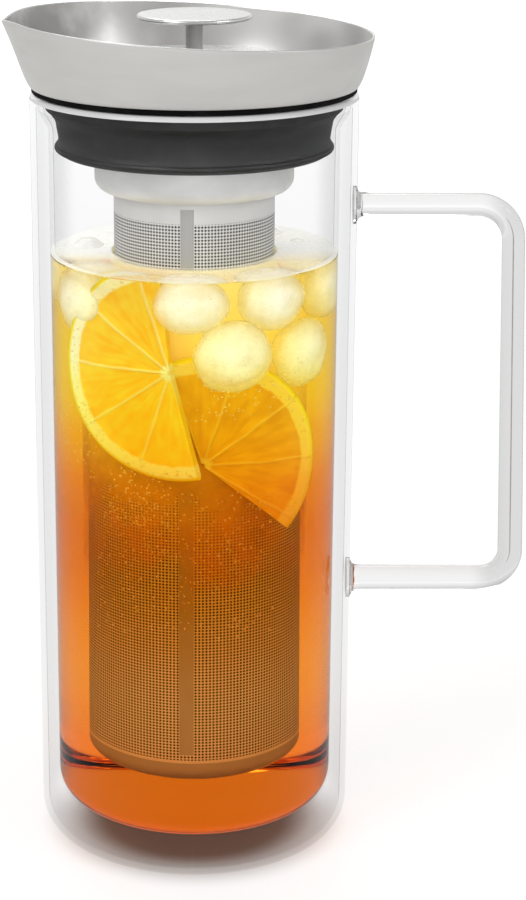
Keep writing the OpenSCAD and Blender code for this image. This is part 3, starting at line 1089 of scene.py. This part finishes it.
# %% Ice
ice_places = {
    "ice_front": ((-1.2, -33.6, 184.2), 10.9, 8.9),
    "ice_front_right": ((21.5, -26.2, 184.0), 10.8, 9.0),
    "ice_low_middle": ((10.8, -32.0, 168.2), 11.6, 11.2),
    "ice_low_right": ((29.4, -17.0, 165.6), 10.8, 10.4),
    "ice_right": ((33.6, -3.0, 183.0), 11.4, 9.6),
    "ice_left": ((-30.4, -15.2, 181.5), 11.0, 10.4),
    "ice_far_left": ((-33.2, 6.8, 185.6), 10.6, 9.6),
    "ice_back_left": ((-21.6, 25.8, 184.5), 10.4, 9.4),
    "ice_back": ((0.5, 33.8, 183.0), 10.0, 9.0),
    "ice_back_right": ((22.0, 25.4, 185.6), 10.2, 9.6),
    "ice_far_right": ((32.0, 12.4, 184.4), 9.0, 9.2),
}
ice_depth = 8.5 * mm
ice_dent, ice_waves, ice_seed_step = 0.07, 1.6, 7.3
# The milky ice glows a little: painted light.
ice_glow, ice_light = 0.2, (0.97, 0.97, 0.96, 1)
ice_clear, ice_speck = (1, 0.995, 0.97, 1), (0.60, 0.52, 0.34, 1)
ice_milk, ice_frost = (0.97, 0.98, 1.0, 1), (0.93, 0.93, 0.92, 1)
ice_dim, ice_bright = (0.40, 0.40, 0.38, 1), (0.92, 0.96, 1.0, 1)


@finish
def ice_paint(tree):
    place = own_place(tree)
    facing = put(tree, "LayerWeight", {"Blend": 0.5})["Facing"]
    cloud = mottle(tree, place, 120.0, 3.0)
    frost = mottle(tree, place, 700.0, 3.0, 0.7)
    core = ease(tree, facing, 0.05, 0.9, 0.92, 0.36) * ease(tree, cloud, 0.25, 0.65, 0.75, 1.0)
    clear = put(tree, "BsdfPrincipled", {
        "Base Color": ice_clear, "Roughness": 0.2, "IOR": 1.012, "Transmission Weight": 1.0,
        "Normal": bump(tree, frost, 0.1 * mm),
    })[0]
    # Painted glow, brightest where the ball faces the eye.
    shine = ease(tree, facing, 0.0, 0.6, 1.0, 0.0) * ease(tree, cloud, 0.3, 0.7, 0.5, 1.0)
    specks = ease(tree, mottle(tree, place, 1500.0, 1.0), 0.66, 0.72, 0.0, 0.6)
    body = blend(tree, ease(tree, frost, 0.35, 0.65), ice_milk, ice_frost)
    milky = put(tree, "BsdfPrincipled", {
        "Base Color": blend(tree, specks, body, ice_speck), "Roughness": 0.4,
        "Subsurface Weight": 1.0, "Subsurface Radius": (4 * mm, 4 * mm, 4 * mm), "Subsurface Scale": 1.0,
        "Emission Color": blend(tree, shine, ice_dim, ice_bright), "Emission Strength": ice_glow,
        "Normal": bump(tree, frost, 0.15 * mm),
    })[0]
    return [clear_for_light(tree, mix(tree, core, clear, milky), ice_light)]


ice_finish = ice_paint("ice")


def make_ice_ball(name, place, width, height, seed):
    bm = bmesh.new()
    bmesh.ops.create_icosphere(bm, subdivisions=4, radius=1.0)
    turn = math.atan2(place[1], place[0])
    for vert in bm.verts:
        dent = 1 + ice_dent * noise.noise(vert.co * ice_waves + Vector((seed * ice_seed_step, 0, 0)))
        vert.co = Vector((vert.co.x * ice_depth, vert.co.y * width * mm, vert.co.z * height * mm)) * dent
    piece = make_piece(name, bm, ice_finish)
    piece.rotation_euler = (0, 0, turn)
    piece.location = Vector(place) * mm
    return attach(piece, "jug")


for seed, (name, (place, width, height)) in enumerate(ice_places.items()):
    make_ice_ball(name, place, width, height, seed)
print(len(ice_places), "balls of ice")

# %% [markdown]
# ## Lemon
# Two pieces of lemon stand against the wall. A slice is built in polar steps, as it grew: a hub, ten fans of
# flesh between thin membranes that stand out a little, a band of pith and the rind. The same angles and
# radii that shape the mesh also colour it, so relief and colour meet.

# %% Lemon finish
lemon_r = 34 * mm
lemon_fans = 10
flesh_end, pith_end = 0.86, 0.965
lemon_t = 3.2 * mm
rind_tone, pith_speck = (1.0, 0.82, 0.04, 1), (0.72, 0.50, 0.16, 1)
membrane_reach, membrane_most = (0.15 * mm, 0.65 * mm), 0.48
fibres_round, fibres_out = 60.0, 5.0


@finish
def lemon_paint(tree, flesh_deep, flesh_light, pale):
    place = own_place(tree)
    x, y, _ = axes(tree)
    radius = hypot(tree, x, y)
    share = radius / lemon_r
    turn = calc(tree, "ARCTAN2", y, x) / (2 * math.pi)
    wobble = (mottle(tree, place, 90.0, 1.0) - 0.5) * 0.012
    fan = calc(tree, "FRACT", (turn + wobble + 1.0) * lemon_fans)
    from_edge = 0.5 - calc(tree, "ABSOLUTE", fan - 0.5)
    membrane_gap = from_edge * radius * (2 * math.pi / lemon_fans)
    membrane = ease(tree, membrane_gap, *membrane_reach, 1.0, 0.0)
    ragged = share + (mottle(tree, place, 240.0, 2.0) - 0.5) * 0.04
    pith = ease(tree, ragged, flesh_end - 0.015, flesh_end + 0.015)
    hub = ease(tree, ragged, 0.05, 0.10, 1.0, 0.0)
    rind = ease(tree, share, pith_end - 0.012, pith_end + 0.012)
    fibre_place = put(tree, "CombineXYZ", {"X": turn * fibres_round, "Y": share * fibres_out})[0]
    fibre = mottle(tree, fibre_place, 1.0, 3.0)
    juicy = fibre * 0.6 + mottle(tree, place, 130.0) * 0.4
    flesh = blend(tree, ease(tree, juicy, 0.32, 0.68), flesh_deep, flesh_light)
    speck = ease(tree, mottle(tree, place, 900.0, 2.0), 0.60, 0.68)
    colour = blend(tree, calc(tree, "MAXIMUM", membrane * membrane_most, hub), flesh, pale)
    colour = blend(tree, pith, colour, blend(tree, speck * 0.55, pale, pith_speck))
    return put(tree, "BsdfPrincipled", {
        "Base Color": blend(tree, rind, colour, rind_tone), "Roughness": 0.35, "Subsurface Weight": 0.3,
        "Subsurface Radius": (3 * mm, 2 * mm, 1 * mm), "Subsurface Scale": 1.0,
        "Normal": bump(tree, fibre * 0.5 + membrane, 0.15 * mm),
    })


near_tones = (1.0, 0.58, 0.025, 1), (1.0, 0.77, 0.10, 1), (1.0, 0.99, 0.95, 1)
# The deeper slice takes darker copies of the same tones: painted shade.
shaded_lemon_tones = (0.80, 0.42, 0.01, 1), (0.94, 0.60, 0.03, 1), (1.0, 0.80, 0.34, 1)
near_lemon = lemon_paint("near_lemon", *near_tones)
deep_lemon = lemon_paint("deep_lemon", *shaded_lemon_tones)

# %% Lemon slices
lemon_rings = [0.02, 0.06, 0.10, 0.2, 0.3, 0.4, 0.5, 0.6, 0.7, 0.78, 0.83, 0.86, 0.89, 0.92, 0.95]
lemon_step = 3
fan_dip, dip_ends, dip_starts = 0.35 * mm, 0.05, 0.15


def lemon_height(turn, share):
    """Half the slice's thickness: fans are sunk a little, membranes and pith stand level."""
    fan = (turn / (2 * math.pi) * lemon_fans) % 1.0
    sunk = math.sin(math.pi * fan) ** 0.5 * max(0.0, min(1.0, (flesh_end - share) / dip_ends))
    return lemon_t / 2 - fan_dip * sunk * min(1.0, share / dip_starts)


def lemon_rim():
    """Rounded rind from the front to the back of a slice: share of the radius, and height."""
    depth = 1 - lemon_rings[-1]
    return [(lemon_rings[-1] + depth * math.cos(t), lemon_t / 2 * math.sin(t))
            for t in (math.radians(a) for a in range(75, -76, -15))]


def make_lemon_slice(name, first, last, material, trim=lemon_r):
    """Part of a slice between two angles, trimmed straight above a height over its hub."""
    bm = bmesh.new()
    rows = []
    for degrees in range(first, last + 1, lemon_step):
        turn = math.radians(degrees)
        face = [(s, lemon_height(turn, s)) for s in lemon_rings]
        outline = face + lemon_rim() + [(s, -h) for s, h in reversed(face)]
        rows.append([bm.verts.new(polar(s * lemon_r, turn, h)) for s, h in outline])
    for one, two in zip(rows, rows[1:]):
        bridge(bm, one, two)
    bm.faces.new(rows[0])
    bm.faces.new(rows[-1][::-1])
    if trim < lemon_r:
        everything = bm.verts[:] + bm.edges[:] + bm.faces[:]
        cut = {"plane_co": (0, trim, 0), "plane_no": (0, 1, 0), "clear_outer": True}
        bmesh.ops.bisect_plane(bm, geom=everything, **cut)
        bmesh.ops.holes_fill(bm, edges=[e for e in bm.edges if e.is_boundary])
    return make_piece(name, bm, material)


def stand_up(piece, distance, along, height, facing):
    """Stands a slice on edge: how far its plane is from the axis, and where its hub is in that plane."""
    turn = Matrix.Rotation(math.radians(facing), 4, "Z")
    hub = turn @ Vector((along, -distance, height)) * mm
    piece.matrix_world = Matrix.Translation(hub) @ turn @ Matrix.Rotation(math.pi / 2, 4, "X")
    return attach(piece, "jug")


lemon_left = make_lemon_slice("lemon_left", 96, 285, near_lemon, 27.5 * mm)
lemon_right = make_lemon_slice("lemon_right", -42, 108, deep_lemon)
stand_up(lemon_left, distance=33.3, along=7.8, height=163.5, facing=-24)
stand_up(lemon_right, distance=28.1, along=-5.0, height=133.5, facing=14)
print("lemon slices of", round(2 * lemon_r / mm), "mm")

# %% [markdown]
# ## Pulp
# Crushed lemon hangs as a cloud in the upper tea and hides the infuser there. A real cloud would be a slow
# and grainy volume, so it is a thin sleeve just outside the infuser. It is thick at the top and fades out
# downwards in wisps.

# %% Pulp
pulp_r, pulp_t = 25.7 * mm, 0.4 * mm
pulp_fade, pulp_most = (88 * mm, 156 * mm), 0.88
pulp_low, pulp_top = pulp_fade[0] - 30 * mm, tea_level - 1 * mm
pulp_tones = [
    (70, (0.75, 0.30, 0.02)), (110, (0.95, 0.50, 0.04)), (140, (1.0, 0.76, 0.15)), (190, (1.0, 0.93, 0.66)),
]
# Near the top the pulp glows a little: painted light.
pulp_glow, pulp_glow_reach = 0.22, (125 * mm, 172 * mm)
wisp_reach = 60 * mm


def see_through(tree, thickness, shader):
    """The shader where it is thick, and nothing where it isn't."""
    return mix(tree, thickness, put(tree, "BsdfTransparent")[0], shader)


@finish
def pulp_paint(tree):
    z = axes(tree)[2]
    wisps = mottle(tree, own_place(tree), 70.0, 4.0, 0.6)
    ragged = z + (wisps - 0.5) * wisp_reach
    tone = height_tones(tree, (z - tea_bottom) / tea_depth, pulp_tones)
    matt = put(tree, "BsdfPrincipled", {
        "Base Color": tone, "Roughness": 0.7, "Specular IOR Level": 0.0,
        "Emission Color": tone, "Emission Strength": ease(tree, z, *pulp_glow_reach, 0.0, pulp_glow),
    })[0]
    return [see_through(tree, ease(tree, ragged, *pulp_fade, 0.0, pulp_most), matt)]


def ring_outline(inner, outer, low, high):
    return [(inner, low), (outer, low), (outer, high), (inner, high)]


pulp_sleeve = ring_outline(pulp_r, pulp_r + pulp_t, pulp_low, pulp_top)
pulp = lathe("pulp", pulp_sleeve, pulp_paint("pulp"), 128)
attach(pulp, "jug")
print("pulp from", round(pulp_low / mm), "to", round(pulp_top / mm), "mm")

# %% [markdown]
# ## Froth
# Where the ice melts and the lemon was stirred in, a pale froth lies on the tea. It is a thin ring from the
# infuser to the glass, patchy, thick behind and nearly see-through in front. Behind, it is partly froth and
# partly a painted reflection, the pale look of the tea's surface seen at a grazing angle. Beside the infuser
# it gathers along the wall. It glows a little, which is painted light.

# %% Froth
froth_t, froth_lift = 0.3 * mm, 0.05 * mm
# Behind, the cover is partly froth and partly the tea surface's pale look: painted reflection.
froth_gathers, froth_thin, froth_and_reflection_behind = (-24 * mm, 2 * mm), 0.22, 0.95
froth_beside, froth_rim, froth_rim_most = (22 * mm, 38 * mm), 1.2 * mm, 0.9
# The froth glows a little: painted light.
froth_front, froth_back, froth_glow = (1.0, 0.96, 0.80, 1), (0.97, 0.97, 0.94, 1), 0.2


@finish
def froth_and_reflection_paint(tree):
    place = own_place(tree)
    x, y, _ = axes(tree)
    foam = mottle(tree, place, 900.0, 4.0, 0.7) + mottle(tree, place, 60.0)
    patchy = ease(tree, foam, 0.8, 1.25, 0.8, 1.0)
    away = ease(tree, y, *froth_gathers)
    beside = ease(tree, calc(tree, "ABSOLUTE", x), *froth_beside, 0.0, froth_rim_most)
    at_wall = beside * ease(tree, hypot(tree, x, y), vessel_in - froth_rim, vessel_in)
    thick = patchy * calc(tree, "MAXIMUM", at_wall, ease(tree, away, 0.0, 1.0, froth_thin, froth_and_reflection_behind))
    tone = blend(tree, away, froth_front, froth_back)
    matt = put(tree, "BsdfPrincipled", {
        "Base Color": tone, "Roughness": 0.6, "Emission Color": tone, "Emission Strength": froth_glow,
    })[0]
    return [see_through(tree, thick, matt)]


froth_low = tea_level + meniscus + froth_lift
froth_ring = ring_outline(pulp_r, tea_r, froth_low, froth_low + froth_t)
froth = lathe("froth", froth_ring, froth_and_reflection_paint("froth"))
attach(froth, "jug")
print("froth from", round(pulp_r / mm, 1), "to", round(tea_r / mm, 1), "mm")

# %% [markdown]
# ## Bubbles
# Fine bubbles cling to the lemon and the glass. They are small spheres in one mesh, strewn at random, from a
# fixed seed, over a few patches of the wall.

# %% Bubbles
bubble_patches = [
    {"turn": (-128, -100), "height": (116, 134), "count": 150},
    {"turn": (-165, -135), "height": (128, 152), "count": 120},
    {"turn": (-135, -55), "height": (80, 128), "count": 620},
    {"turn": (-95, -40), "height": (150, 166), "count": 110},
]
bubble_sizes, bubble_gaps = (0.12, 0.30), (0.5, 2.5)
bubble_seed = 4
bubble_tone, bubble_cover = (1.0, 0.88, 0.60, 1), (0.45, 0.9)


@finish
def bubble_paint(tree):
    facing = put(tree, "LayerWeight", {"Blend": 0.35})["Facing"]
    shine = put(tree, "BsdfPrincipled", {"Base Color": bubble_tone, "Roughness": 0.15})[0]
    return [see_through(tree, ease(tree, facing, 0.2, 0.9, *bubble_cover), shine)]


def make_bubbles():
    draw = random.Random(bubble_seed)
    ball = bmesh.new()
    bmesh.ops.create_icosphere(ball, subdivisions=2, radius=1.0)
    shape = [v.co.copy() for v in ball.verts]
    sides = [[v.index for v in face.verts] for face in ball.faces]
    ball.free()
    points, faces = [], []
    for patch in bubble_patches:
        for _ in range(patch["count"]):
            turn = math.radians(draw.uniform(*patch["turn"]))
            height = draw.uniform(*patch["height"]) * mm
            radius = vessel_in - draw.uniform(*bubble_gaps) * mm
            size = draw.uniform(*bubble_sizes) * mm
            spot = polar(radius, turn, height)
            faces += [[len(points) + i for i in side] for side in sides]
            points += [spot + co * size for co in shape]
    mesh = bpy.data.meshes.new("bubble_points")
    mesh.from_pydata(points, [], faces)
    bm = bmesh.new()
    bm.from_mesh(mesh)
    bpy.data.meshes.remove(mesh)
    return make_piece("bubbles", bm, bubble_paint("bubble"))


bubbles = make_bubbles()
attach(bubbles, "jug")
print(sum(p["count"] for p in bubble_patches), "bubbles")
